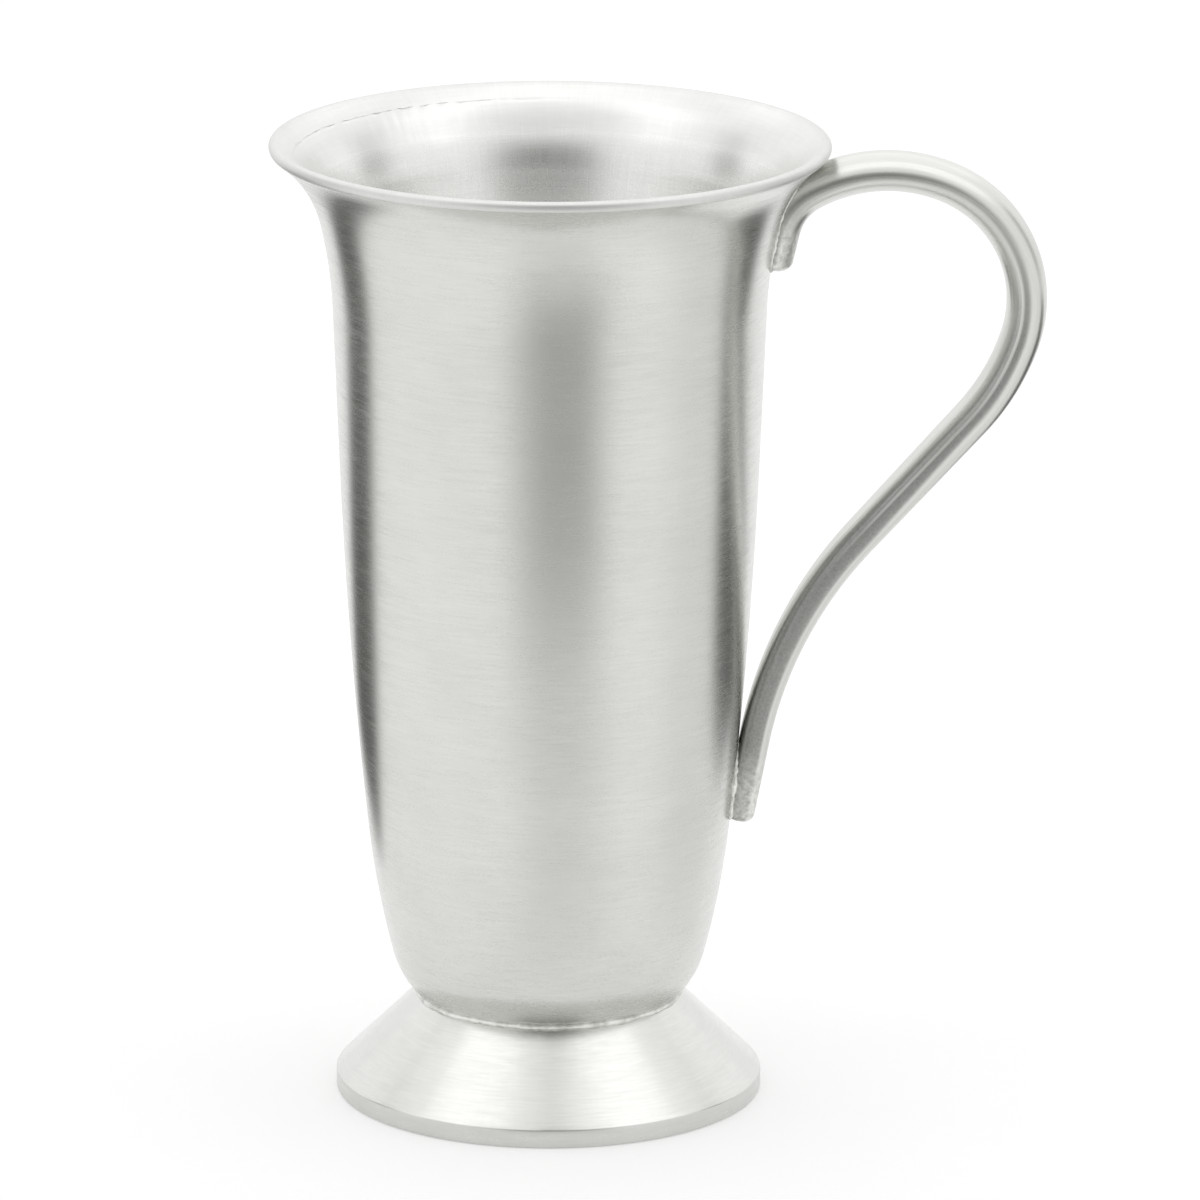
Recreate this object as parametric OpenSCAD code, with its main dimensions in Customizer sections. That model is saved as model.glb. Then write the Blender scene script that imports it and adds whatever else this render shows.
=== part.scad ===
// Pewter beer mug: a spun cup with a flared, hemmed rim, a hollow conical foot soldered under it,
// and a bent, tapered rod handle whose ends are fitted to the cup and soldered on.
// Millimetres, Z up. The origin is on the cup's axis, on the plane the mug stands on.

/* [Cup] */
// Height of the mug over the rim
mug_h = 165; // [155:1:180]
// Diameter over the rim
rim_d = 94; // [88:0.5:102]
// Thickness of the spun wall and floor
wall_t = 1.5; // [1:0.1:2]
// Thickness that the turned-in hem adds at the rim
hem_step = 0.4; // [0.2:0.1:0.8]
// Width of the turned-in hem, measured down the flare
hem_w = 3.1; // [2:0.1:5]
// Slope of the wall at the rim, degrees from upright
rim_slope = 54; // [48:1:60]
// Radius of the flare just below the rim
flare_r = 21.3; // [18:0.1:25]
// Slope where the flare runs into the neck
throat_slope = 13.2; // [10:0.1:17]
// Radius of the neck between the flare and the wall
neck_r = 78; // [60:1:100]
// Slope of the straight part of the wall
wall_slope = 2.3; // [1.6:0.1:3]
// Radius of the long curve below the straight part
belly_r = 925; // [700:5:1100]
// Slope where the belly starts to turn in
belly_slope = 6.2; // [5.4:0.1:6.8]
// Radius of the lower belly
turn_r = 156; // [110:2:200]
// Slope where the lower belly meets the bottom corner
corner_slope = 14.5; // [12:0.5:18]
// Radius of the corner into the flat floor
corner_r = 15.6; // [12:0.2:19]

/* [Foot] */
// Diameter of the foot
foot_d = 72.4; // [66:0.2:82]
// Height of the solder seam between foot and cup
seam_h = 16.9; // [14:0.1:21]
// Slope of the cup at the solder seam
seam_slope = 46.5; // [42:0.5:52]
// Thickness of the foot's cone
foot_t = 1.6; // [1.2:0.1:2.2]
// Height of the upright band round the foot's edge
band_h = 3.1; // [2:0.1:5]
// Thickness of that band
band_t = 2.2; // [1.8:0.1:3.2]
// Bevel on the band's edges
band_bevel = 0.3; // [0.1:0.1:0.5]
// Radius of the solder bead at the seam
seam_bead_r = 0.75; // [0.5:0.05:1]

/* [Handle] */
// Depth of the handle's upper end below the rim
top_end_drop = 21.5; // [18:0.5:25]
// Height of the handle's lower end
low_end_h = 47; // [40:1:56]
// Distance of the rod's centre line from the wall at the lower end
low_end_out = 1.5; // [0.4:0.1:1.6]
// Thickness of the rod in the arch
rod_t = 6.8; // [6:0.1:7.6]
// Width of the rod in the arch
rod_w = 10.2; // [6.4:0.1:11.4]
// Thickness of the rod at its lower end
rod_low_t = 4.9; // [4.6:0.1:6.4]
// Width of the rod at its lower end
rod_low_w = 5.9; // [5:0.1:7.4]
// Squareness of the rod's section in the arch, where 2 is an oval and less has a soft ridge on each side
rod_square = 1.8; // [1.6:0.1:4]
// Squareness of the rod's section below the diagonal, where 4 is nearly a square bar
rod_low_square = 2.8; // [2:0.1:4]
// Rounding of the rod's two ends
rod_end_r = 1.6; // [0.6:0.1:2]
// Gap between the rod and the edge of the rim above it
rim_gap = 1; // [0.5:0.1:2]
// Direction of the rod along the neck, degrees from level
neck_angle = 77; // [73:1:81]
// Bend radius under the rim
rim_bend = 10.3; // [9:0.1:12]
// Direction of the rod where it clears the rim
rim_angle = 29; // [25:1:33]
// Bend radius over the arch
arch_bend = 26.4; // [22:0.2:31]
// Direction where the arch runs into the shoulder
arch_angle = -22; // [-32:1:-12]
// Bend radius at the shoulder
shoulder_bend = 21.6; // [18:0.2:25]
// Direction where the shoulder opens out
shoulder_angle = -108; // [-118:1:-98]
// Bend radius below the shoulder
elbow_bend = 38.6; // [30:0.2:46]
// Direction of the straight diagonal
diagonal_angle = -132; // [-138:1:-126]
// Radius of the reverse bend toward the wall
sweep_bend = 73; // [60:1:86]
// Direction along the wall at the lower end
wall_angle = -100.5; // [-104:0.5:-97]
// Length of rod laid along the wall
wall_run = 14.3; // [10:0.1:18]
// Width of the solder bead round each end of the handle
bead_w = 0.5; // [0.4:0.1:1]
// Height of that bead above the wall
bead_h = 0.5; // [0.4:0.1:0.8]

/* [Hidden] */
$fn = 72;
pewter = "#b7b9b2";
pewter_dark = "#a9aca4";
solder = "#cfd0ca";

// Each arc of the cup: radius, slope at its lower end, slope at its upper end, number of steps.
rim_t = wall_t + hem_step;
hem_slope = rim_slope - hem_w / flare_r * 180 / PI;
corner_arc = [corner_r, 90, corner_slope, 12];
turn_arc = [turn_r, corner_slope, belly_slope, 6];
belly_arc = [belly_r, belly_slope, wall_slope, 7];
neck_arc = [neck_r, wall_slope, throat_slope, 6];
flare_arc = [flare_r, throat_slope, hem_slope, 9];
hem_arc = [flare_r, hem_slope, rim_slope, 3];

function arc_r(a, t) = a[0] * abs(cos(t) - cos(a[1]));
function arc_z(a, t) = a[0] * abs(sin(t) - sin(a[1]));
function arc_size(a) = [arc_r(a, a[2]), arc_z(a, a[2])];
function arc_slopes(a) = [for (i = [0 : a[3]]) a[1] + (a[2] - a[1]) * i / a[3]];
function arc_points(a, from) =
    [for (t = arc_slopes(a)) [from[0] + arc_r(a, t), from[1] + arc_z(a, t), t]];
function beside(p, gap) = [p[0] + gap * cos(p[2]), p[1] - gap * sin(p[2])];
function line_of(points, gap) = [for (p = points) beside(p, gap)];
function reversed(list) = [for (i = [len(list) - 1 : -1 : 0]) list[i]];

// The straight wall takes up the height that the arcs leave, and the floor the width.
floor_z = seam_h - corner_r * (1 - sin(seam_slope));
rim_edge = [rim_d / 2 - rim_t / 2 * (1 - cos(rim_slope)), mug_h - rim_t / 2 * (1 + sin(rim_slope))];
arcs_below = arc_size(corner_arc) + arc_size(turn_arc) + arc_size(belly_arc);
arcs_above = arc_size(neck_arc) + arc_size(flare_arc) + arc_size(hem_arc);
straight_z = rim_edge[1] - floor_z - arcs_below[1] - arcs_above[1];
straight_r = straight_z * tan(wall_slope);
floor_r = rim_edge[0] - arcs_below[0] - arcs_above[0] - straight_r;

corner_from = [floor_r, floor_z];
turn_from = corner_from + arc_size(corner_arc);
belly_from = turn_from + arc_size(turn_arc);
neck_from = belly_from + arc_size(belly_arc) + [straight_r, straight_z];
flare_from = neck_from + arc_size(neck_arc);
hem_from = flare_from + arc_size(flare_arc);

function without_first(list) = [for (i = [1 : len(list) - 1]) list[i]];
cup_line = concat(
    arc_points(corner_arc, corner_from),
    without_first(arc_points(turn_arc, turn_from)),
    without_first(arc_points(belly_arc, belly_from)),
    arc_points(neck_arc, neck_from),
    without_first(arc_points(flare_arc, flare_from))
);
hem_line = arc_points(hem_arc, hem_from);
outer_line = concat(line_of(cup_line, 0), without_first(line_of(hem_line, 0)));
lip_mid = rim_edge + rim_t / 2 * [-cos(rim_slope), sin(rim_slope)];
lip_line = [for (a = [20 : 20 : 160]) lip_mid + rim_t / 2 * [cos(a - rim_slope), sin(a - rim_slope)]];

function cup_r(z) = lookup(z, [for (p = outer_line) [p[1], p[0]]]);

// Foot: the cone runs from the seam to the top of the band.
corner_mid = [floor_r, floor_z + corner_r];
seam = corner_mid + corner_r * [cos(seam_slope), -sin(seam_slope)];
foot_r = foot_d / 2;
cone_run = [foot_r, band_h] - seam;
cone_dir = cone_run / norm(cone_run);
cone_in = [cone_dir[1], -cone_dir[0]];
cone_lap = 2 * foot_t;
cone_top = seam - cone_lap * cone_dir;
cone_top_in = cone_top + foot_t * cone_in;
band_in = foot_r - band_t;
cone_low_in = [band_in, cone_top_in[1] + (band_in - cone_top_in[0]) * cone_dir[1] / cone_dir[0]];

// Handle: straight runs are [length, angle, angle] and bends [radius, angle, angle].
function is_bend(p) = p[1] != p[2];
function part_len(p) = is_bend(p) ? p[0] * abs(p[2] - p[1]) * PI / 180 : p[0];
function way(a) = [cos(a), sin(a)];
function bend_move(p, a) = p[0] * sign(p[2] - p[1]) * [sin(a) - sin(p[1]), cos(p[1]) - cos(a)];
function part_move(p, f = 1) = is_bend(p) ? bend_move(p, p[1] + (p[2] - p[1]) * f) : f * p[0] * way(p[1]);

// The run up the neck is as long as lets the rod clear the rim.
top_end = [cup_r(mug_h - top_end_drop), mug_h - top_end_drop];
rim_part = [rim_bend, neck_angle, rim_angle];
under_rim = rim_edge - top_end - part_move(rim_part);
rim_drop = rod_t / 2 + rim_gap;
neck_run = (under_rim * way(rim_angle + 90) - rim_drop) / sin(neck_angle - rim_angle);
neck_part = [neck_run, neck_angle, neck_angle];

// From the arch down, the bends grow together and the diagonal takes up the rest, to end on the wall.
low_end = [cup_r(low_end_h) + low_end_out, low_end_h];
wall_part = [wall_run, wall_angle, wall_angle];
drawn_bends = [
    [arch_bend, rim_angle, arch_angle],
    [shoulder_bend, arch_angle, shoulder_angle],
    [elbow_bend, shoulder_angle, diagonal_angle],
    [sweep_bend, diagonal_angle, wall_angle]
];
to_close = low_end - top_end - part_move(neck_part) - part_move(rim_part) - part_move(wall_part);
bends_move = [1, 1, 1, 1] * [for (p = drawn_bends) part_move(p)];
fit_cross = cross(bends_move, way(diagonal_angle));
bend_scale = cross(to_close, way(diagonal_angle)) / fit_cross;
diagonal_run = cross(bends_move, to_close) / fit_cross;
bends = [for (p = drawn_bends) [p[0] * bend_scale, p[1], p[2]]];
diagonal_part = [diagonal_run, diagonal_angle, diagonal_angle];
rod_parts = [neck_part, rim_part, bends[0], bends[1], bends[2], diagonal_part, bends[3], wall_part];
shoulder_i = 3;
elbow_i = 4;
diagonal_i = 5;
last_i = len(rod_parts) - 1;
bend_step = 6;

function part_steps(p) = is_bend(p) ? ceil(abs(p[2] - p[1]) / bend_step) : 3;
function part_start(i) = i == 0 ? 0 : part_start(i - 1) + part_len(rod_parts[i - 1]);
function part_from(i) = i == 0 ? top_end : part_from(i - 1) + part_move(rod_parts[i - 1]);
rod_len = part_start(last_i + 1);

// A station is the rod's centre, its direction and the length run so far.
function station(i, f) =
    let (p = rod_parts[i], at = part_from(i) + part_move(p, f))
    [at[0], at[1], p[1] + (p[2] - p[1]) * f, part_start(i) + part_len(p) * f];
end_steps = [0, 0.08, 0.3, 0.62];
top_round = rod_end_r / neck_run;
low_round = rod_end_r / wall_run;
stations = concat(
    [for (e = end_steps) station(0, e * top_round)],
    [for (f = [0, 0.5]) station(0, top_round + (1 - top_round) * f)],
    [for (i = [1 : last_i - 1])
        for (j = [0 : part_steps(rod_parts[i]) - 1]) station(i, j / part_steps(rod_parts[i]))],
    [for (f = [0, 0.5, 1]) station(last_i, (1 - low_round) * f)],
    [for (e = reversed(end_steps)) station(last_i, 1 - e * low_round)]
);

taper_from = part_start(elbow_i);
function rod_size(s, top, low) = lookup(s, [[taper_from, top], [rod_len, low]]);
function end_gap(s) = min(max(s, 0), max(rod_len - s, 0), rod_end_r);
function end_inset(s) = rod_end_r - sqrt(max(0, pow(rod_end_r, 2) - pow(rod_end_r - end_gap(s), 2)));
rod_sides = 24;
square_from = part_start(shoulder_i);
square_to = part_start(diagonal_i + 1);
function rod_power(s) = 2 / lookup(s, [[square_from, rod_square], [square_to, rod_low_square]]);
function squared(x, power) = sign(x) * pow(abs(x), power);
function rod_ring(st, grow) =
    let (t = rod_size(st[3], rod_t, rod_low_t) / 2 - end_inset(st[3]) + grow,
         w = rod_size(st[3], rod_w, rod_low_w) / 2 - end_inset(st[3]) + grow,
         power = rod_power(st[3]))
    [for (j = [0 : rod_sides - 1])
        let (a = 360 * j / rod_sides, up = t * squared(cos(a), power), side = w * squared(sin(a), power))
        [st[0] - up * sin(st[2]), side, st[1] + up * cos(st[2])]];

module rod_sweep(sts, grow = 0) {
    n = len(sts);
    m = rod_sides;
    points = [for (st = sts) each rod_ring(st, grow)];
    first_cap = [for (j = [m - 1 : -1 : 0]) j];
    last_cap = [for (j = [0 : m - 1]) (n - 1) * m + j];
    sides = [for (i = [0 : n - 2])
        for (j = [0 : m - 1])
            let (a = i * m + j, b = i * m + (j + 1) % m)
            each [[a, b, a + m], [b, b + m, a + m]]];
    polyhedron(points, concat([first_cap], sides, [last_cap]));
}

module cup_blank(gap = 0) {
    edge = gap == 0 ? concat(outer_line, lip_line) : concat(line_of(cup_line, gap), line_of(hem_line, gap));
    top_z = edge[len(edge) - 1][1];
    rotate_extrude() polygon(concat([[0, floor_z - gap]], edge, [[0, top_z]]));
}

module foot_blank() {
    rotate_extrude()
        polygon([
            cone_top, [foot_r, band_h], [foot_r, band_bevel], [foot_r - band_bevel, 0],
            [band_in, 0], cone_low_in, cone_top_in
        ]);
}

// Bead of solder round one landing, from the stations that lie against the cup.
module landing_bead(sts, rod_sts) {
    difference() {
        intersection() {
            rod_sweep(sts, bead_w);
            cup_blank(bead_h);
        }
        rod_sweep(rod_sts);
        cup_blank();
    }
}

function run_on(st, s) = [st[0] + s * cos(st[2]), st[1] + s * sin(st[2]), st[2], st[3] + s];
top_sts = [for (st = stations) if (st[3] < part_start(shoulder_i)) st];
top_rod_sts = [for (st = stations) if (st[3] < part_start(shoulder_i + 1)) st];
low_sts = [for (st = stations) if (st[3] > part_start(last_i - 1)) st];
low_rod_sts = [for (st = stations) if (st[3] > part_start(diagonal_i)) st];

module cup() {
    inner = concat(line_of(cup_line, -wall_t), line_of(hem_line, -rim_t));
    color(pewter)
        rotate_extrude()
            polygon(concat(
                [[0, floor_z]], outer_line, lip_line, reversed(inner), [[0, floor_z + wall_t]]
            ));
}

module foot() {
    color(pewter)
        difference() {
            foot_blank();
            cup_blank();
        }
}

module handle() {
    color(pewter_dark)
        difference() {
            rod_sweep(stations);
            cup_blank();
        }
}

module foot_solder() {
    color(solder)
        difference() {
            rotate_extrude() translate(seam + [seam_bead_r / 2, 0]) circle(seam_bead_r, $fn = 24);
            cup_blank();
            foot_blank();
        }
}

module upper_handle_solder() {
    color(solder) landing_bead(concat([run_on(top_sts[0], -bead_w)], top_sts), top_rod_sts);
}

module lower_handle_solder() {
    color(solder)
        landing_bead(concat(low_sts, [run_on(low_sts[len(low_sts) - 1], bead_w)]), low_rod_sts);
}

cup();
foot();
handle();
foot_solder();
upper_handle_solder();
lower_handle_solder();
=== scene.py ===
import math

import bpy
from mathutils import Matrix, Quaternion, Vector, noise


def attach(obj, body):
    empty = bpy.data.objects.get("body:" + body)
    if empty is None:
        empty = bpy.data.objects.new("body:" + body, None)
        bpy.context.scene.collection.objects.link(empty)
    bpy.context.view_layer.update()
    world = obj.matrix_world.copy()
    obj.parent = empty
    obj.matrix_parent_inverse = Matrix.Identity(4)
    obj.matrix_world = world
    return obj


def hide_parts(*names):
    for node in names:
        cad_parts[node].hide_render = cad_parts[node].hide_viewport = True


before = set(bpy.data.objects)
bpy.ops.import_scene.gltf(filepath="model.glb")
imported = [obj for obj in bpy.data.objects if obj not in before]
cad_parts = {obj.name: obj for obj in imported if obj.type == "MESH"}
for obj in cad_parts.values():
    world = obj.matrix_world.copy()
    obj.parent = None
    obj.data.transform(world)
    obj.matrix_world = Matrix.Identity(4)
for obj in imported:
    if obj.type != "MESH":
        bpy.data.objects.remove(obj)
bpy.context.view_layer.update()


# Cup: one sheet of pewter spun to a tall tapering wall with a flared rim and a flat floor.
# The rim's edge is turned in as a narrow hem. Outside and inside are finished with abrasive on the
# lathe, which leaves fine rings round the axis.
MM = 0.001
mug_h = 164.995
rim_r = 46.99
wall_t = 1.5
hem_step = 0.4
hem_w = 3.1
rim_slope = 54.0
wall_slope = 2.3
seam_h = 16.9
seam_slope = 46.5
corner_r = 15.6
flare_r = 21.3
pole_r = 0.5
rim_t = wall_t + hem_step
floor_z = seam_h - corner_r * (1 - math.sin(math.radians(seam_slope)))

# Sizes are in mm, and a slope is the wall's lean from upright, in degrees. Each arc is its radius, the
# wall's slope at its lower and upper end, and how many steps it is drawn in.
cup_arcs = {
    "corner": (corner_r, 90.0, 14.5, 26),
    "turn": (156.0, 14.5, 6.2, 14),
    "belly": (925.0, 6.2, wall_slope, 20),
    "neck": (78.0, wall_slope, 13.2, 16),
    "flare": (flare_r, 13.2, rim_slope, 34),
}
straight_steps = 10


def arc_step(arc, slope):
    """How far out and up an arc has gone where the wall has this slope."""
    radius, low = arc[0], math.radians(arc[1])
    slope = math.radians(slope)
    return (radius * abs(math.cos(slope) - math.cos(low)), radius * abs(math.sin(slope) - math.sin(low)))


def arc_line(arc, start):
    """The points of an arc from its start: radius, height and slope."""
    line = []
    for i in range(arc[3] + 1):
        slope = arc[1] + (arc[2] - arc[1]) * i / arc[3]
        out, up = arc_step(arc, slope)
        line.append((start[0] + out, start[1] + up, slope))
    return line


rim_edge = (
    rim_r - rim_t / 2 * (1 - math.cos(math.radians(rim_slope))),
    mug_h - rim_t / 2 * (1 + math.sin(math.radians(rim_slope))),
)
arcs_out = sum(arc_step(a, a[2])[0] for a in cup_arcs.values())
arcs_up = sum(arc_step(a, a[2])[1] for a in cup_arcs.values())
straight_up = rim_edge[1] - floor_z - arcs_up
straight_out = straight_up * math.tan(math.radians(wall_slope))
floor_r = rim_edge[0] - arcs_out - straight_out

cup_line = []
reached = (floor_r, floor_z)
for part in ("corner", "turn", "belly"):
    cup_line += arc_line(cup_arcs[part], reached)[1 if cup_line else 0:]
    reached = cup_line[-1][:2]
for i in range(1, straight_steps):
    share = i / straight_steps
    cup_line.append((reached[0] + straight_out * share, reached[1] + straight_up * share, wall_slope))
cup_line += arc_line(cup_arcs["neck"], (reached[0] + straight_out, reached[1] + straight_up))
throat = cup_line[-1][:2]
cup_line += arc_line(cup_arcs["flare"], throat)[1:]


def cup_radius(z):
    """Outer radius of the cup at a height, both in mm."""
    for (r0, z0, _), (r1, z1, _) in zip(cup_line, cup_line[1:]):
        if z0 <= z <= z1:
            return r0 + (r1 - r0) * (z - z0) / (z1 - z0)
    return 0.0


def beside(r, z, slope, gap):
    """The point that lies this far inside the cup's skin."""
    slope = math.radians(slope)
    return (r - gap * math.cos(slope), z + gap * math.sin(slope))


def within_one(share):
    return min(max(share, 0.0), 1.0)


def eased(share):
    return share * share * (3 - 2 * share)


# The hem's edge shows only toward one side of the rim, within so many degrees, and is broken there.
# It strays up and down the flare in long and short waves, in mm, and tears a little where it is crisp.
hem_toward = Vector((-0.74, 0.67, 0.0))
hem_spread = 38
hem_breaks, hem_break_depth = 27.0, 2.2
long_waves, long_stray = 2.1, 0.30
short_waves, short_stray, torn_stray = 24.0, 0.06, 0.16


def hem_edge(angle):
    """How far the hem's edge strays (mm) at one angle, and how crisply it stands: 1 is a plain step."""
    around = Vector((math.cos(angle), math.sin(angle), 0.0))
    crisp = math.exp(-(math.degrees(around.angle(hem_toward)) / hem_spread) ** 4)
    crisp *= within_one(0.5 + hem_break_depth * noise.noise(around * hem_breaks + Vector((3.0, 0, 0))))
    wander = long_stray * noise.noise(around * long_waves + Vector((0, 0, 4.0)))
    wander += (short_stray + torn_stray * crisp) * noise.noise(around * short_waves)
    return wander, crisp


# Below the throat the inside runs on as a cone, so the wall swells: over this length, to this much
# and soon a little more, in mm. Further down, counted in lengths of the cone, it thins out again.
neck_cone = 10
neck_growth = 1.6
neck_extra, neck_more, neck_more_within = 0.9, 0.25, 0.17
thin_from, thin_over = 1.6, 6.4


def neck_swell(z):
    """How much thicker the wall gets below the throat, in mm."""
    below = (throat[1] - z) / neck_cone
    if below < 0:
        return 0.0
    if below < 1:
        return neck_extra * below ** neck_growth
    swell = neck_extra + neck_more * (1 - math.exp((1 - below) / neck_more_within))
    return swell * (1 - eased(within_one((below - thin_from) / thin_over)))


# The hem melts into the flare over these degrees of its arc, by the listed shares. Where it is crisp,
# part of its step stands as a nick, with a fine groove beside it.
lip_steps, hem_steps, flare_steps = 14, 8, 26
hem_melt = 15.0
melt_shares = (0.008, 0.03, 0.055, 0.15, 0.35, 0.5, 0.65, 0.85, 1.0)
nick_share = 0.2
groove_at, groove_deep = 0.03, 0.055


def cup_section(angle):
    """The cup's whole section at one angle: outside from the floor up, round the lip, down the inside."""
    outside = [(pole_r, floor_z), (floor_r * 0.5, floor_z)] + [(r, z) for r, z, _ in cup_line]
    lip_mid = beside(rim_edge[0], rim_edge[1], rim_slope, rim_t / 2)
    lip = []
    for i in range(1, lip_steps):
        a = math.radians(180 * i / lip_steps - rim_slope)
        lip.append((lip_mid[0] + rim_t / 2 * math.cos(a), lip_mid[1] + rim_t / 2 * math.sin(a)))
    flare = cup_arcs["flare"]

    def inside_flare(slope, thick):
        out, up = arc_step(flare, slope)
        return beside(throat[0] + out, throat[1] + up, slope, thick)

    wander, proud = hem_edge(angle)
    edge_slope = rim_slope - math.degrees((hem_w + wander) / flare_r)
    nick = hem_step * nick_share * proud
    inside = []
    for i in range(hem_steps + 1):
        inside.append(inside_flare(rim_slope + (edge_slope - rim_slope) * i / hem_steps, rim_t))
    for share in melt_shares:
        drop = nick + (hem_step - nick) * eased(share)
        drop += groove_deep * proud if share == groove_at else 0.0
        inside.append(inside_flare(edge_slope - hem_melt * share, rim_t - drop))
    melted = edge_slope - hem_melt
    for i in range(1, flare_steps + 1):
        inside.append(inside_flare(melted + (flare[1] - melted) * i / flare_steps, wall_t))
    below_flare = cup_line[: -flare[3] - 1]
    inside += [beside(r, z, slope, wall_t + neck_swell(z)) for r, z, slope in reversed(below_flare)]
    inside += [(floor_r * 0.5, floor_z + wall_t), (pole_r, floor_z + wall_t)]
    return outside + lip + inside


def piece_of(name, verts, faces, sharp=None):
    """A smooth piece of these faces. Edges turned by more than sharp degrees stay sharp."""
    mesh = bpy.data.meshes.new(name)
    mesh.from_pydata(verts, [], faces)
    mesh.polygons.foreach_set("use_smooth", [True] * len(faces))
    if sharp is not None:
        mesh.set_sharp_from_angle(angle=math.radians(sharp))
    mesh.update()
    piece = bpy.data.objects.new(name, mesh)
    bpy.context.scene.collection.objects.link(piece)
    return piece


# A piece's texture is laid out by its own length, this many units to a metre.
marks_per_m = 10


def spun(name, section_at, sectors, sharp, closed_poles):
    """A piece turned on the lathe: section_at(angle) gives its section in mm, from one pole to the other."""
    rings = []
    for j in range(sectors):
        angle = 2 * math.pi * j / sectors
        rings.append([(r * math.cos(angle), r * math.sin(angle), z) for r, z in section_at(angle)])
    rows = len(rings[0])
    verts = [Vector(p) * MM for ring in rings for p in ring]
    faces = []
    for j in range(sectors):
        k = (j + 1) % sectors
        for i in range(rows - 1):
            faces.append((j * rows + i, k * rows + i, k * rows + i + 1, j * rows + i + 1))
    turned = len(faces)
    if closed_poles:
        faces.append(tuple(j * rows for j in reversed(range(sectors))))
        faces.append(tuple(j * rows + rows - 1 for j in range(sectors)))
    piece = piece_of(name, verts, faces, sharp)
    lengths = [0.0]
    section = section_at(0.0)
    for (r0, z0), (r1, z1) in zip(section, section[1:]):
        lengths.append(lengths[-1] + math.hypot(r1 - r0, z1 - z0) * MM)
    layer = piece.data.uv_layers.new(name="rings")
    for poly in piece.data.polygons[:turned]:
        j, i = divmod(poly.index, rows - 1)
        for loop, (dj, di) in zip(poly.loop_indices, ((0, 0), (1, 0), (1, 1), (0, 1))):
            layer.data[loop].uv = ((j + dj) / sectors, lengths[i + di] * marks_per_m)
    return piece


def node(tree, kind, **settings):
    """One shader node, laid to the right of the last. Each setting goes to its socket or to the node."""
    n = tree.nodes.new(kind)
    n.location = (200 * len(tree.nodes), 0)
    for key, value in settings.items():
        if key in n.inputs:
            n.inputs[key].default_value = value
        else:
            setattr(n, key, value)
    return n


def feed(tree, socket, value):
    """Sets a socket to a plain number, or joins another socket to it."""
    if isinstance(value, (int, float)):
        socket.default_value = value
    else:
        tree.links.new(value, socket)


def worked(tree, operation, *values):
    """The result of one sum on sockets and plain numbers."""
    step = node(tree, "ShaderNodeMath", operation=operation)
    for socket, value in zip(step.inputs, values):
        feed(tree, socket, value)
    return step.outputs[0]


def ranged(tree, source, start, end, low, high, easing="SMOOTHSTEP"):
    """A value that runs from low to high while source runs from start to end."""
    span = node(tree, "ShaderNodeMapRange", interpolation_type=easing)
    for key, value in (("From Min", start), ("From Max", end), ("To Min", low), ("To Max", high)):
        feed(tree, span.inputs[key], value)
    tree.links.new(source, span.inputs["Value"])
    return span.outputs[0]


def speckle(tree, where, scale, detail, roughness):
    """Uneven marks over the metal, about this many to a unit of where."""
    tex = node(tree, "ShaderNodeTexNoise", Scale=scale, Detail=detail, Roughness=roughness)
    tree.links.new(where, tex.inputs["Vector"])
    return tex.outputs["Fac"]


def tinted(tree, colour, value):
    tint = node(tree, "ShaderNodeVectorMath", operation="SCALE")
    tint.inputs[0].default_value = colour
    tree.links.new(value, tint.inputs["Scale"])
    return tint.outputs[0]


def bumped(tree, height, depth, strength=1.0, over=None):
    """Fine relief of this depth in metres, laid over a coarser one where that is given."""
    bump = node(tree, "ShaderNodeBump", Strength=strength, Distance=depth)
    tree.links.new(height, bump.inputs["Height"])
    if over is not None:
        tree.links.new(over, bump.inputs["Normal"])
    return bump.outputs[0]


def bare_metal(name):
    mat = bpy.data.materials.new(name)
    mat.use_nodes = True
    shader = mat.node_tree.nodes["Principled BSDF"]
    shader.inputs["Metallic"].default_value = 1.0
    return mat, mat.node_tree, shader


# The lathe's marks: how often they change round the piece and along its section, and their detail.
fine_rings = (6.0, 240.0, 3.0)
broad_rings = (2.5, 70.0, 2.0)
broad_share = 0.30
upright_marks = (105.0, 15.0, 3.0)
# Stray scratches run two ways: how the marks are turned (radians), and how closely they lie.
long_scratches = ((0.5, 0.9, 0.6), (2600, 90, 240))
flat_scratches = ((0.1, -0.2, 0.3), (140, 300, 2600))
scratch_from, scratch_full = 0.68, 0.80
hem_darker, hem_duller = -0.06, 0.08


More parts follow.
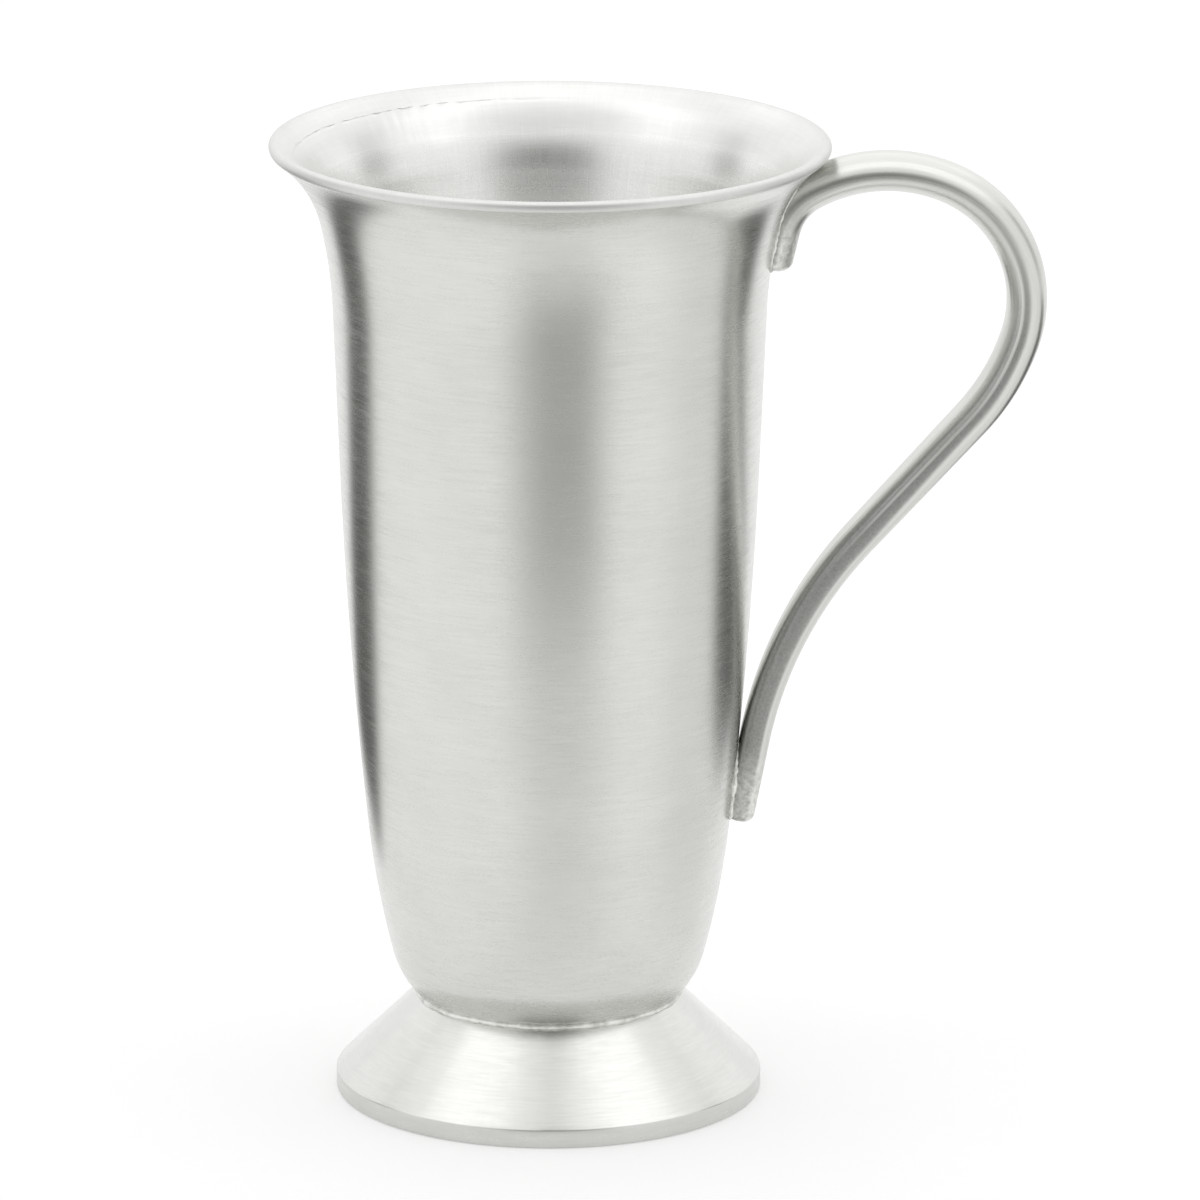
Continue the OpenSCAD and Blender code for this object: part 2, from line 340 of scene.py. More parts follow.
def pewter(name, colour, roughness, ring_depth, upright, scratches):
    """Satin pewter with lathe rings. ring_depth: how deep the rings are cut; upright: how much of the
    brushing runs across them; scratches: how strongly stray scratches show. Where a piece has a "hem"
    attribute, the metal there is a little darker and duller."""
    mat, tree, shader = bare_metal(name)
    link = tree.links.new
    shader.inputs["Anisotropic"].default_value = 0.15
    shader.inputs["Anisotropic Rotation"].default_value = 0.25
    tangent = node(tree, "ShaderNodeTangent", direction_type="RADIAL", axis="Z")
    link(tangent.outputs["Tangent"], shader.inputs["Tangent"])

    coords = node(tree, "ShaderNodeTexCoord")
    split = node(tree, "ShaderNodeSeparateXYZ")
    link(coords.outputs["Object"], split.inputs[0])
    flat = node(tree, "ShaderNodeCombineXYZ")
    link(split.outputs["X"], flat.inputs["X"])
    link(split.outputs["Y"], flat.inputs["Y"])
    round_way = node(tree, "ShaderNodeVectorMath", operation="NORMALIZE")
    link(flat.outputs[0], round_way.inputs[0])
    uv = node(tree, "ShaderNodeSeparateXYZ")
    link(coords.outputs["UV"], uv.inputs[0])

    def lines(round_scale, up_scale, detail):
        spread = node(tree, "ShaderNodeVectorMath", operation="SCALE", Scale=round_scale)
        link(round_way.outputs[0], spread.inputs[0])
        lift = node(tree, "ShaderNodeCombineXYZ")
        link(worked(tree, "MULTIPLY", uv.outputs["Y"], up_scale), lift.inputs["Z"])
        where = node(tree, "ShaderNodeVectorMath", operation="ADD")
        link(spread.outputs[0], where.inputs[0])
        link(lift.outputs[0], where.inputs[1])
        return speckle(tree, where.outputs[0], 1.0, detail, 0.6)

    def blend(first, second, share):
        mix = node(tree, "ShaderNodeMix", data_type="FLOAT", Factor=share)
        link(first, mix.inputs["A"])
        link(second, mix.inputs["B"])
        return mix.outputs["Result"]

    def hairs(turned, scale):
        turn = node(tree, "ShaderNodeMapping", Rotation=turned, Scale=scale)
        link(coords.outputs["Object"], turn.inputs["Vector"])
        return speckle(tree, turn.outputs[0], 1.0, 2.0, 0.5)

    def spread_of(source, low, high):
        return ranged(tree, source, 0.28, 0.72, low, high, "LINEAR")

    rings = blend(lines(*fine_rings), lines(*broad_rings), broad_share)
    brushed = blend(rings, lines(*upright_marks), upright)
    cloud = speckle(tree, coords.outputs["Object"], 75.0, 4.0, 0.6)
    crossed = worked(tree, "MAXIMUM", hairs(*long_scratches), hairs(*flat_scratches))
    cut = ranged(tree, crossed, scratch_from, scratch_full, 0.0, scratches)
    hem = node(tree, "ShaderNodeAttribute", attribute_name="hem").outputs["Fac"]

    value = worked(tree, "MULTIPLY", spread_of(brushed, 0.955, 1.035), spread_of(cloud, 0.97, 1.03))
    hem_toned = worked(tree, "MULTIPLY_ADD", hem, hem_darker, 1.0)
    link(tinted(tree, colour, worked(tree, "MULTIPLY", value, hem_toned)), shader.inputs["Base Color"])
    worn = worked(tree, "MULTIPLY_ADD", cut, 0.10, spread_of(brushed, roughness + 0.05, roughness - 0.05))
    link(worked(tree, "MULTIPLY_ADD", hem, hem_duller, worn), shader.inputs["Roughness"])
    link(bumped(tree, worked(tree, "SUBTRACT", brushed, cut), ring_depth), shader.inputs["Normal"])
    return mat


cup_outside = pewter("cup outside pewter", (0.68, 0.685, 0.657), roughness=0.26,
                     ring_depth=0.0000055, upright=0.05, scratches=0.04)
# The inside's colour is painted lighter than the outside's: painted light for the lamps shining into the
# cup.
cup_inside = pewter("cup inside pewter", (0.81, 0.815, 0.795), roughness=0.28,
                    ring_depth=0.000014, upright=0.42, scratches=0.3)
cup = spun("spun_cup", cup_section, sectors=360, sharp=24, closed_poles=True)
cup.data.materials.append(cup_outside)
cup.data.materials.append(cup_inside)
cup_rows = len(cup_section(0.0))
lip_row = 1 + len(cup_line)

# Rows past the lip's start where its darkening and the hem's begin to fade, and over how many rows.
lip_dim_to, lip_fade = 11, 5
hem_dim_to, hem_fade = 23, 9
lip_dimming = 1.2


def hem_dimming(row):
    """How much darker and duller the metal is at one row of the cup's section: most on the lip, less on the
    hem.
    """
    past_lip = row - lip_row
    if past_lip < 0:
        return 0.0
    on_lip = within_one(1 - (past_lip - lip_dim_to) / lip_fade)
    on_hem = within_one(1 - (past_lip - hem_dim_to) / hem_fade)
    return on_hem + lip_dimming * on_lip


for face in cup.data.polygons:
    face.material_index = 0 if face.index % (cup_rows - 1) < lip_row else 1
cup.data.polygons[-1].material_index = 1
hem_marks = cup.data.attributes.new("hem", "FLOAT", "POINT")
for i, mark in enumerate(hem_marks.data):
    mark.value = hem_dimming(i % cup_rows)
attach(cup, "root")
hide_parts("cup")


# Foot: a hollow cone spun from the same pewter, with an upright band round its edge and an open
# underside. Its narrow end fits round the cup's bottom corner and is soldered there. The band is
# duller and more scratched than the cone, and its colour is painted darker: painted shade for the
# shadowed table round the foot that it reflects.
foot_r = 36.2
foot_t = 1.6
foot_overlap = 0.9
band_h = 3.1
band_t = 2.2
seam_r = floor_r + corner_r * math.cos(math.radians(seam_slope))
cone_len = math.hypot(foot_r - seam_r, band_h - seam_h)
cone_way = ((foot_r - seam_r) / cone_len, (band_h - seam_h) / cone_len)
cone_steps, hollow_steps = 24, 12

# The band's edges are rounded over. Each point is how far it lies in from the band's face, and its
# height over the band's upper edge or over the table.
band_upper_edge = ((0.16, 0.14), (0.05, 0.02), (0.0, -0.12))
band_lower_edge = ((0.0, 2.0), (0.0, 1.0), (0.0, 0.34), (0.08, 0.12), (0.3, 0.0))
band_inner_edge = ((0.3, 0.0), (0.08, 0.08), (0.0, 0.3))


def run(start, end, steps):
    """Points from start toward end, without the last one."""
    return [tuple(a + (b - a) * i / steps for a, b in zip(start, end)) for i in range(steps)]


def foot_section(angle):
    """The foot's section, the same at every angle: down the cone, round the band, up the hollow."""
    top = (seam_r - foot_overlap * cone_way[0], seam_h - foot_overlap * cone_way[1])
    upper = [(foot_r - back, band_h + up) for back, up in band_upper_edge]
    lower = [(foot_r - back, z) for back, z in band_lower_edge]
    band_in = foot_r - band_t
    inner = [(band_in + back, z) for back, z in band_inner_edge]
    top_in = (top[0] + foot_t * cone_way[1], top[1] - foot_t * cone_way[0])
    low_in = (band_in, top_in[1] + (band_in - top_in[0]) * cone_way[1] / cone_way[0])
    hollow = run(low_in, top_in, hollow_steps) + [top_in]
    return run(top, upper[0], cone_steps) + upper + lower + inner + hollow + [top]


foot_cone = pewter("foot pewter", (0.71, 0.715, 0.69), roughness=0.23,
                   ring_depth=0.0000085, upright=0.18, scratches=0.10)
# Painted shade: the band's colour is darker than the cone's, for the shadowed table it reflects.
foot_band = pewter("foot band pewter", (0.65, 0.655, 0.63), roughness=0.30,
                   ring_depth=0.000010, upright=0.25, scratches=0.60)
foot = spun("spun_foot", foot_section, sectors=256, sharp=28, closed_poles=False)
foot.data.materials.append(foot_cone)
foot.data.materials.append(foot_band)
foot_rows = len(foot_section(0.0)) - 1
band_from = cone_steps + 1
band_to = cone_steps + len(band_upper_edge) + len(band_lower_edge) - 1
for face in foot.data.polygons:
    face.material_index = 1 if band_from <= face.index % foot_rows < band_to else 0
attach(foot, "root")
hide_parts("foot")


# Foot solder: the ring of tin solder run into the corner between cup and foot. It was wiped by hand,
# so its width wanders and it stays paler and rougher than the pewter.
lump_waves = ((0.22, 1.0), (0.9, 0.6), (2.1, 0.4))
pit_waves, pit_deep = 2.3, 0.05


def bead(name, path, outward, radius, sides, lumpiness, seed):
    """A closed bead of solder along path (mm); outward gives the way it bulges at each point."""
    count = len(path)
    verts = []
    faces = []
    for i, point in enumerate(path):
        ahead = (path[(i + 1) % count] - path[i - 1]).normalized()
        out = (outward[i] - ahead * outward[i].dot(ahead)).normalized()
        side = ahead.cross(out)
        swell = 1.0
        for axis, (waves, share) in enumerate(lump_waves):
            shift = Vector((0, 0, 0))
            shift[axis] = seed
            swell += share * lumpiness * noise.noise(point * waves + shift)
        for j in range(sides):
            a = 2 * math.pi * j / sides
            pit = 1 + pit_deep * noise.noise(point * pit_waves + Vector((math.cos(a), math.sin(a), seed)))
            verts.append((point + (out * math.cos(a) + side * math.sin(a)) * radius * swell * pit) * MM)
    for i in range(count):
        k = (i + 1) % count
        for j in range(sides):
            m = (j + 1) % sides
            faces.append((i * sides + j, k * sides + j, k * sides + m, i * sides + m))
    return piece_of(name, verts, faces)


def tin_solder(name):
    """Hand-run tin: pale where it is smooth, greyer and duller where it is not."""
    mat, tree, shader = bare_metal(name)
    link = tree.links.new
    where = node(tree, "ShaderNodeTexCoord").outputs["Object"]
    lumps = speckle(tree, where, 420.0, 4.0, 0.6)
    grain = speckle(tree, where, 2600.0, 2.0, 0.5)
    tone = node(tree, "ShaderNodeValToRGB")
    grey, pale = tone.color_ramp.elements
    grey.position, grey.color = 0.34, (0.60, 0.60, 0.57, 1)
    pale.position, pale.color = 0.56, (0.86, 0.86, 0.83, 1)
    link(lumps, tone.inputs["Fac"])
    link(tone.outputs["Color"], shader.inputs["Base Color"])
    link(ranged(tree, lumps, 0.0, 1.0, 0.55, 0.30, "LINEAR"), shader.inputs["Roughness"])
    link(bumped(tree, grain, 0.00005, 0.6), shader.inputs["Normal"])
    return mat


solder = tin_solder("tin solder")
seam_bead_r = seam_r + 0.22
seam_bead_z = seam_h + 0.05
seam_drift, seam_drift_waves = 0.12, 5
seam_path = []
seam_out = []
for i in range(360):
    a = math.radians(i)
    drift = Vector((math.cos(a) * seam_drift_waves, math.sin(a) * seam_drift_waves, 7.0))
    z = seam_bead_z + seam_drift * noise.noise(drift)
    seam_path.append(Vector((seam_bead_r * math.cos(a), seam_bead_r * math.sin(a), z)))
    seam_out.append(Vector((math.cos(a), math.sin(a), 0.0)))
foot_solder = bead("seam_solder", seam_path, seam_out, radius=0.50, sides=14, lumpiness=0.50, seed=3.0)
foot_solder.data.materials.append(solder)
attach(foot_solder, "root")
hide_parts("foot_solder")


# Handle: a cast pewter rod, a wide oval over the arch that turns into a smaller rounded square below.
# It is bent to a hook at the top and a long S, and is thinner toward its lower end. Its ends are filed
# to lie against the flare and the wall.
rod_t, rod_w = 6.79, 10.2
rod_low_t, rod_low_w = 4.9, 5.9
rod_square, rod_low_square = 1.8, 2.8
rod_end_r = 1.6
rod_sunk = 0.7
top_end_h = mug_h - 21.5
low_end_h = 47.0
low_end_out = 1.5
top_end = (cup_radius(top_end_h), top_end_h)
low_end = (cup_radius(low_end_h) + low_end_out, low_end_h)
neck_angle, rim_angle, arch_angle = 77.0, 29.0, -22.0
shoulder_angle, diagonal_angle, wall_angle = -108.0, -132.0, -100.5
rim_bend, rim_gap, wall_run = 10.3, 1.0, 14.3


def way(angle):
    """The direction of an angle in degrees, in the handle's plane."""
    return (math.cos(math.radians(angle)), math.sin(math.radians(angle)))


def bend_move(radius, start, end):
    """How far a bend of the rod moves on while it turns from one direction to another."""
    turn = radius * (1 if end > start else -1)
    a, b = math.radians(start), math.radians(end)
    return (turn * (math.sin(b) - math.sin(a)), turn * (math.cos(a) - math.cos(b)))


# The rod leaves the flare and clears the rim by a set gap. The bends as drawn are then scaled together,
# and the diagonal's length chosen, so that the rod ends at the wall.
rim_turn = bend_move(rim_bend, neck_angle, rim_angle)
under_rim = [rim_edge[i] - top_end[i] - rim_turn[i] for i in (0, 1)]
rim_up = way(rim_angle + 90)
neck_run = under_rim[0] * rim_up[0] + under_rim[1] * rim_up[1] - rod_t / 2 - rim_gap
neck_run /= math.sin(math.radians(neck_angle - rim_angle))
drawn = [
    (26.4, rim_angle, arch_angle),
    (21.6, arch_angle, shoulder_angle),
    (38.6, shoulder_angle, diagonal_angle),
    (73.0, diagonal_angle, wall_angle),
]
to_close = [
    low_end[i] - top_end[i] - neck_run * way(neck_angle)[i] - rim_turn[i] - wall_run * way(wall_angle)[i]
    for i in (0, 1)
]
bends_move = [sum(bend_move(*b)[i] for b in drawn) for i in (0, 1)]
diagonal_way = way(diagonal_angle)
fit = bends_move[0] * diagonal_way[1] - bends_move[1] * diagonal_way[0]
bend_scale = (to_close[0] * diagonal_way[1] - to_close[1] * diagonal_way[0]) / fit
diagonal_run = (bends_move[0] * to_close[1] - bends_move[1] * to_close[0]) / fit
arch, shoulder, elbow, sweep = [(r * bend_scale, a, b) for r, a, b in drawn]
rod_parts = [
    (neck_run, neck_angle, neck_angle),
    (rim_bend, neck_angle, rim_angle),
    arch,
    shoulder,
    elbow,
    (diagonal_run, diagonal_angle, diagonal_angle),
    sweep,
    (wall_run, wall_angle, wall_angle),
]


def part_len(part):
    return part[0] if part[1] == part[2] else part[0] * math.radians(abs(part[2] - part[1]))


rod_len = sum(part_len(p) for p in rod_parts)
square_from = sum(part_len(p) for p in rod_parts[:3])
taper_from = sum(part_len(p) for p in rod_parts[:4])
diagonal_from = taper_from + part_len(elbow)
square_run = sum(part_len(p) for p in rod_parts[3:6])
sweep_from = square_from + square_run


def rod_at(s):
    """Centre (x, z) in mm and direction in degrees after s mm of rod."""
    x, z = top_end
    for part in rod_parts:
        size, start, end = part
        length = part_len(part)
        last = part is rod_parts[-1]
        share = s / length if last else min(s / length, 1.0)
        angle = start + (end - start) * share
        if start == end:
            move = (size * share * way(start)[0], size * share * way(start)[1])
        else:
            move = bend_move(size, start, angle)
        if s <= length or last:
            return x + move[0], z + move[1], angle
        x, z, s = x + move[0], z + move[1], s - length


def squared(share, square):
    return math.copysign(abs(share) ** (2 / square), share)


def rod_point(s, a):
    """A point on the rod's skin: s along it, a round it from its upper side."""
    x, z, angle = rod_at(s)
    share = within_one((s - taper_from) / (rod_len - taper_from))
    gap = min(max(s, 0.0), max(rod_len - s, 0.0), rod_end_r)
    inset = rod_end_r - math.sqrt(max(0.0, rod_end_r ** 2 - (rod_end_r - gap) ** 2))
    t = (rod_t + (rod_low_t - rod_t) * share) / 2 - inset
    w = (rod_w + (rod_low_w - rod_w) * share) / 2 - inset
    square = rod_square + (rod_low_square - rod_square) * within_one((s - square_from) / square_run)
    up = way(angle + 90)
    lift = t * squared(math.cos(a), square)
    return Vector((x + lift * up[0], w * squared(math.sin(a), square), z + lift * up[1]))


def clear_of_cup(p):
    """How far outside the cup's skin a point lies, in mm."""
    well_clear = 9.0
    return math.hypot(p.x, p.y) - cup_radius(p.z) if floor_z < p.z < rim_edge[1] else well_clear


rod_sides, rod_steps = 56, 300
end_stops = [rod_end_r * (1 - math.cos(math.radians(q))) for q in range(0, 90, 12)]
rod_stops = end_stops + [rod_end_r + (rod_len - 2 * rod_end_r) * i / rod_steps for i in range(rod_steps + 1)]
rod_stops += [rod_len - q for q in reversed(end_stops)]
rod_verts = []
for s in rod_stops:
    for j in range(rod_sides):
        p = rod_point(s, 2 * math.pi * j / rod_sides)
        if clear_of_cup(p) < -rod_sunk:
            grow = (cup_radius(p.z) - rod_sunk) / max(math.hypot(p.x, p.y), 0.001)
            p = Vector((p.x * grow, p.y * grow, p.z))
        rod_verts.append(p * MM)
rod_faces = []
for i in range(len(rod_stops) - 1):
    here, there = i * rod_sides, (i + 1) * rod_sides
    for j in range(rod_sides):
        k = (j + 1) % rod_sides
        rod_faces.append((here + j, here + k, there + k, there + j))
rod_skin = len(rod_faces)
rod_faces.append(tuple(reversed(range(rod_sides))))
rod_faces.append(tuple((len(rod_stops) - 1) * rod_sides + j for j in range(rod_sides)))
handle = piece_of("rod_handle", rod_verts, rod_faces, sharp=50)
layer = handle.data.uv_layers.new(name="grain")
for poly in handle.data.polygons[:rod_skin]:
    i, j = divmod(poly.index, rod_sides)
    for loop, (di, dj) in zip(poly.loop_indices, ((0, 0), (0, 1), (1, 1), (1, 0))):
        layer.data[loop].uv = (rod_stops[i + di] * MM * marks_per_m, (j + dj) / rod_sides)


# How the faces are dulled and darkened along the rod: length, how dull and dark, where across the
# face, half as wide. They are rougher there, and their darker colour is painted shade for the dark
# reflections on the flats. Across a face, 0 is the rod's inner side and 1 its outer side. The two
# ends come first.
faces_dull_and_shaded = (
    (0.0, 0.04, 0.45, 0.16),
    (rod_len, 0.50, 0.40, 0.22),
    (5.0, 0.05, 0.50, 0.14),
    (10.0, 0.32, 0.50, 0.14),
    (24.0, 0.28, 0.50, 0.07),
    (square_from - 6.0, 0.22, 0.50, 0.06),
    (square_from + 4.0, 0.02, 0.49, 0.07),
    (square_from + 16.0, 0.10, 0.42, 0.09),
    (taper_from, 0.42, 0.42, 0.12),
    (diagonal_from, 0.42, 0.41, 0.12),
    (sweep_from, 0.46, 0.42, 0.18),
)
face_shade_soft = 0.04
# A bright line runs along the faces, partly a rubbed line and partly a painted highlight: where across,
# half as wide at its core and its edge, and the lengths of rod over which it comes and goes.
highlight_at, highlight_core, highlight_edge = 0.43, 0.012, 0.032
highlight_comes = (square_from + 8.0, square_from + 24.0)
highlight_goes = (rod_len * 0.60, rod_len * 0.74)
# Tin is smeared over both ends, and thins out over these lengths of rod.
top_tin_goes = (5.0, 12.0)
low_tin_comes = (rod_len - 15.0, rod_len - 5.0)


def cast_pewter(name, colour, roughness):
    """Hand-finished pewter: draw marks along the rod, dull grey flats between brighter edges, and tin
    smeared over both ends. The flats' darker colour is painted shade for the dark reflections on them,
    and a bright line along them is partly a rubbed line and partly a painted highlight."""
    mat, tree, shader = bare_metal(name)
    link = tree.links.new

    def plus(first, second):
        return worked(tree, "ADD", first, second)

    def less(first, second):
        return worked(tree, "SUBTRACT", first, second)

    def times(first, second):
        return worked(tree, "MULTIPLY", first, second)

    def apart(first, second):
        return worked(tree, "ABSOLUTE", less(first, second))

    coords = node(tree, "ShaderNodeTexCoord")
    split = node(tree, "ShaderNodeSeparateXYZ")
    link(coords.outputs["UV"], split.inputs[0])
    along = split.outputs["X"]
    outward = times(apart(split.outputs["Y"], 0.5), 2.0)

    def along_rod(stretch_of_rod, low, high):
        start, end = (s * MM * marks_per_m for s in stretch_of_rod)
        return ranged(tree, along, start, end, low, high)

    stretch = node(tree, "ShaderNodeMapping", Scale=(9.0, 90.0, 1.0))
    link(coords.outputs["UV"], stretch.inputs["Vector"])
    draw = speckle(tree, stretch.outputs[0], 1.0, 4.0, 0.65)
    dents = speckle(tree, coords.outputs["Object"], 95.0, 2.0, 0.5)
    grain = speckle(tree, coords.outputs["Object"], 2400.0, 2.0, 0.6)
    blots = speckle(tree, coords.outputs["Object"], 1000.0, 4.0, 0.7)

    face_shade_ramp = node(tree, "ShaderNodeValToRGB")
    stops = face_shade_ramp.color_ramp.elements
    for i, (s, dull_and_dark, middle, half_width) in enumerate(faces_dull_and_shaded):
        stop = stops[i] if i < 2 else stops.new(s / rod_len)
        stop.position = s / rod_len
        stop.color = (dull_and_dark, middle, half_width, 1)
    link(worked(tree, "DIVIDE", along, rod_len * MM * marks_per_m), face_shade_ramp.inputs["Fac"])
    worn_at = node(tree, "ShaderNodeSeparateColor")
    link(face_shade_ramp.outputs["Color"], worn_at.inputs[0])
    dull_and_dark, middle, half_width = worn_at.outputs
    inner_edge, outer_edge = less(half_width, face_shade_soft), plus(half_width, face_shade_soft)
    face = ranged(tree, apart(outward, middle), inner_edge, outer_edge, 1.0, 0.0)
    # Painted highlight: a bright line along the flats where the painted shade is left off; it is also
    # smoother there, as a rubbed line.
    line = ranged(tree, apart(outward, highlight_at), highlight_core, highlight_edge, 1.0, 0.0)
    rubbed_highlight = times(line, times(along_rod(highlight_comes, 0.0, 1.0), along_rod(highlight_goes, 1.0, 0.0)))
    tinned = worked(tree, "MAXIMUM", along_rod(top_tin_goes, 1.0, 0.0), along_rod(low_tin_comes, 0.0, 1.0))
    cleared = worked(tree, "MAXIMUM", rubbed_highlight, times(tinned, 0.6))
    # Painted shade: the flats' colour is darkened here for the dark reflections on them; the same mask makes
    # them rougher and grainier.
    dulled_and_shaded = times(times(face, dull_and_dark), less(1.0, cleared))

    shaded = times(ranged(tree, draw, 0.3, 0.7, 0.97, 1.025), less(1.0, dulled_and_shaded))
    sanding = times(less(grain, 0.5), dulled_and_shaded)
    blotched = times(less(blots, 0.5), tinned)
    smeared = plus(times(blotched, 1.4), times(tinned, 0.06))
    value = plus(plus(shaded, times(sanding, 0.7)), smeared)
    link(tinted(tree, colour, value), shader.inputs["Base Color"])

    drawn_rough = ranged(tree, draw, 0.3, 0.7, roughness + 0.04, roughness - 0.04)
    dull_rough = plus(times(dulled_and_shaded, 0.12), times(tinned, 0.16))
    link(plus(drawn_rough, dull_rough), shader.inputs["Roughness"])
    draw_marks = bumped(tree, draw, 0.000003)
    soft_dents = bumped(tree, dents, 0.00002, over=draw_marks)
    link(bumped(tree, grain, 0.000006, over=soft_dents), shader.inputs["Normal"])
    return mat


handle.data.materials.append(cast_pewter("handle pewter", (0.69, 0.695, 0.667), roughness=0.30))
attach(handle, "root")
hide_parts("handle")


# Handle solder: a bead of tin run round each end of the rod where it lies against the cup. The upper
# one is thin and the lower one fuller, and both are left lumpy.
landing_steps, landing_turn, across_steps = 130, 2, 10


def landing_loop(first, last):
    """The closed line where the rod's skin meets the cup, between two lengths of rod."""
    side = []
    for i in range(landing_steps + 1):
        s = first + (last - first) * i / landing_steps
        gaps = [clear_of_cup(rod_point(s, math.radians(q))) for q in range(0, 181, landing_turn)]
        for q, (here, there) in enumerate(zip(gaps, gaps[1:])):
            if (here < 0) != (there < 0):
                share = here / (here - there)
                side.append(rod_point(s, math.radians(landing_turn * (q + share))))
                break
    mirrored = [Vector((p.x, -p.y, p.z)) for p in reversed(side)]
    low_y = side[0].y
    across = []
    for i in range(1, across_steps):
        y = -low_y + 2 * low_y * i / across_steps
        across.append(Vector((math.sqrt(cup_radius(side[0].z) ** 2 - y * y), y, side[0].z)))
    return side + mirrored + across


upper_landing = landing_loop(0.02, 26.0)
lower_landing = landing_loop(rod_len - 0.02, rod_len - 30.0)
for name, solid, loop, thick, seed in (
    ("upper_landing_solder", "upper_handle_solder", upper_landing, 0.31, 11.0),
    ("lower_landing_solder", "lower_handle_solder", lower_landing, 0.62, 23.0),
):
    out = [Vector((p.x, p.y, 0)).normalized() for p in loop]
    piece = bead(name, loop, out, radius=thick, sides=10, lumpiness=0.9, seed=seed)
    piece.data.materials.append(solder)
    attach(piece, "root")
    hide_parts(solid)


# Table: a plain white sheet that the mug stands on. It gives off a little light of its own toward
# the camera and the metal, so that it reads as white and still takes the mug's shadow.
table_glow = 0.27


def blank_material(name):
    mat = bpy.data.materials.new(name)
    mat.use_nodes = True
    mat.node_tree.nodes.clear()
    return mat, mat.node_tree


def looked_at(tree):
    """1 for what the camera sees, by itself or in metal or glass, and 0 for light on its way."""
    rays = node(tree, "ShaderNodeLightPath").outputs
    seen = worked(tree, "MAXIMUM", rays["Is Camera Ray"], rays["Is Glossy Ray"])
    return worked(tree, "MAXIMUM", seen, rays["Is Transmission Ray"])


bpy.ops.mesh.primitive_circle_add(vertices=96, radius=6.0, fill_type="NGON", location=(0, 0, -0.0001))
table = bpy.context.object
table.name = "table"
sheet, tree = blank_material("white sheet")
diffuse = node(tree, "ShaderNodeBsdfDiffuse", Color=(0.80, 0.80, 0.80, 1))
glow = node(tree, "ShaderNodeEmission", Color=(1, 1, 1, 1))
tree.links.new(worked(tree, "MULTIPLY", looked_at(tree), table_glow), glow.inputs["Strength"])
both = node(tree, "ShaderNodeAddShader")
tree.links.new(diffuse.outputs[0], both.inputs[0])
tree.links.new(glow.outputs[0], both.inputs[1])
out = node(tree, "ShaderNodeOutputMaterial")
tree.links.new(both.outputs[0], out.inputs["Surface"])
table.data.materials.append(sheet)


# Studio: white all round, with a soft lamp above each side, one above the back, and pale screens
# behind. Boards and cloths that only show as reflections shade the metal: in front and overhead for
# its middle, on the table behind for its dark edges, and one at each side.
world = bpy.data.worlds.new("studio")
bpy.context.scene.world = world
world.use_nodes = True
tree = world.node_tree
backing = tree.nodes["Background"]
backing.inputs["Color"].default_value = (1, 1, 1, 1)
room_light, room_white = 0.83, 1.0
room = ranged(tree, looked_at(tree), 0.0, 1.0, room_light, room_white, "LINEAR")
tree.links.new(room, backing.inputs["Strength"])

lamps_aim = Vector((0, 0, 0.08))
for name, place, width, depth, glow in (
    ("left lamp", (-0.37, -0.10, 1.0), 0.50, 0.9, 0.46),
    ("right lamp", (0.41, -0.10, 1.0), 0.50, 0.9, 0.46),
    ("left screen", (-1.35, 0.75, 0.95), 1.6, 1.3, 0.10),
    ("right screen", (1.35, 0.75, 0.95), 1.6, 1.3, 0.10),
    ("back screen", (0.0, 1.5, 0.95), 2.2, 1.3, 0.14),
    ("back lamp", (0.0, 0.62, 1.0), 1.5, 0.7, 0.24),
):
    lamp = bpy.data.lights.new(name, "AREA")
    lamp.shape = "RECTANGLE"
    lamp.size = width
    lamp.size_y = depth
    lamp.energy = glow * math.pi * width * depth
    holder = bpy.data.objects.new(name, lamp)
    holder.location = place
    holder.rotation_euler = (lamps_aim - holder.location).to_track_quat("-Z", "Y").to_euler()
    bpy.context.scene.collection.objects.link(holder)


def board_cloth(name, colour, soft_left, soft_right, soft_low, soft_high):
    """Cloth that thins out toward each of its four edges, over these shares of its size."""
    mat, tree = blank_material(name)
    link = tree.links.new
    split = node(tree, "ShaderNodeSeparateXYZ")
    link(node(tree, "ShaderNodeTexCoord").outputs["UV"], split.inputs[0])
    covers = []
    for axis, soft_near, soft_far in (("X", soft_left, soft_right), ("Y", soft_low, soft_high)):
        from_near = split.outputs[axis]
        from_far = worked(tree, "SUBTRACT", 1.0, from_near)
        covers.append(ranged(tree, from_near, 0.0, soft_near, 0.0, 1.0))
        covers.append(ranged(tree, from_far, 0.0, soft_far, 0.0, 1.0))
    cover = covers[0]
    for other in covers[1:]:
        cover = worked(tree, "MULTIPLY", cover, other)
    shade = node(tree, "ShaderNodeEmission", Color=colour, Strength=1.0)
    clear = node(tree, "ShaderNodeBsdfTransparent")
    mix = node(tree, "ShaderNodeMixShader")
    link(cover, mix.inputs["Fac"])
    link(clear.outputs[0], mix.inputs[1])
    link(shade.outputs[0], mix.inputs[2])
    out = node(tree, "ShaderNodeOutputMaterial")
    link(mix.outputs[0], out.inputs["Surface"])
    return mat


def hang_board(name, edge_points, cloth):
    """A board that only shows as a reflection: edge_points(share) gives its low and high edge."""
    steps = 24
    verts = []
    for i in range(steps + 1):
        verts += edge_points(i / steps)
    faces = [(2 * i, 2 * i + 2, 2 * i + 3, 2 * i + 1) for i in range(steps)]
    board = piece_of(name, verts, faces)
    layer = board.data.uv_layers.new(name="width")
    for loop in board.data.loops:
        i, high = divmod(loop.vertex_index, 2)
        layer.data[loop.index].uv = (i / steps, high)
    board.data.materials.append(cloth)
    board.visible_camera = False
    board.visible_diffuse = False
    board.visible_shadow = False
    board.visible_transmission = False
    board.visible_volume_scatter = False


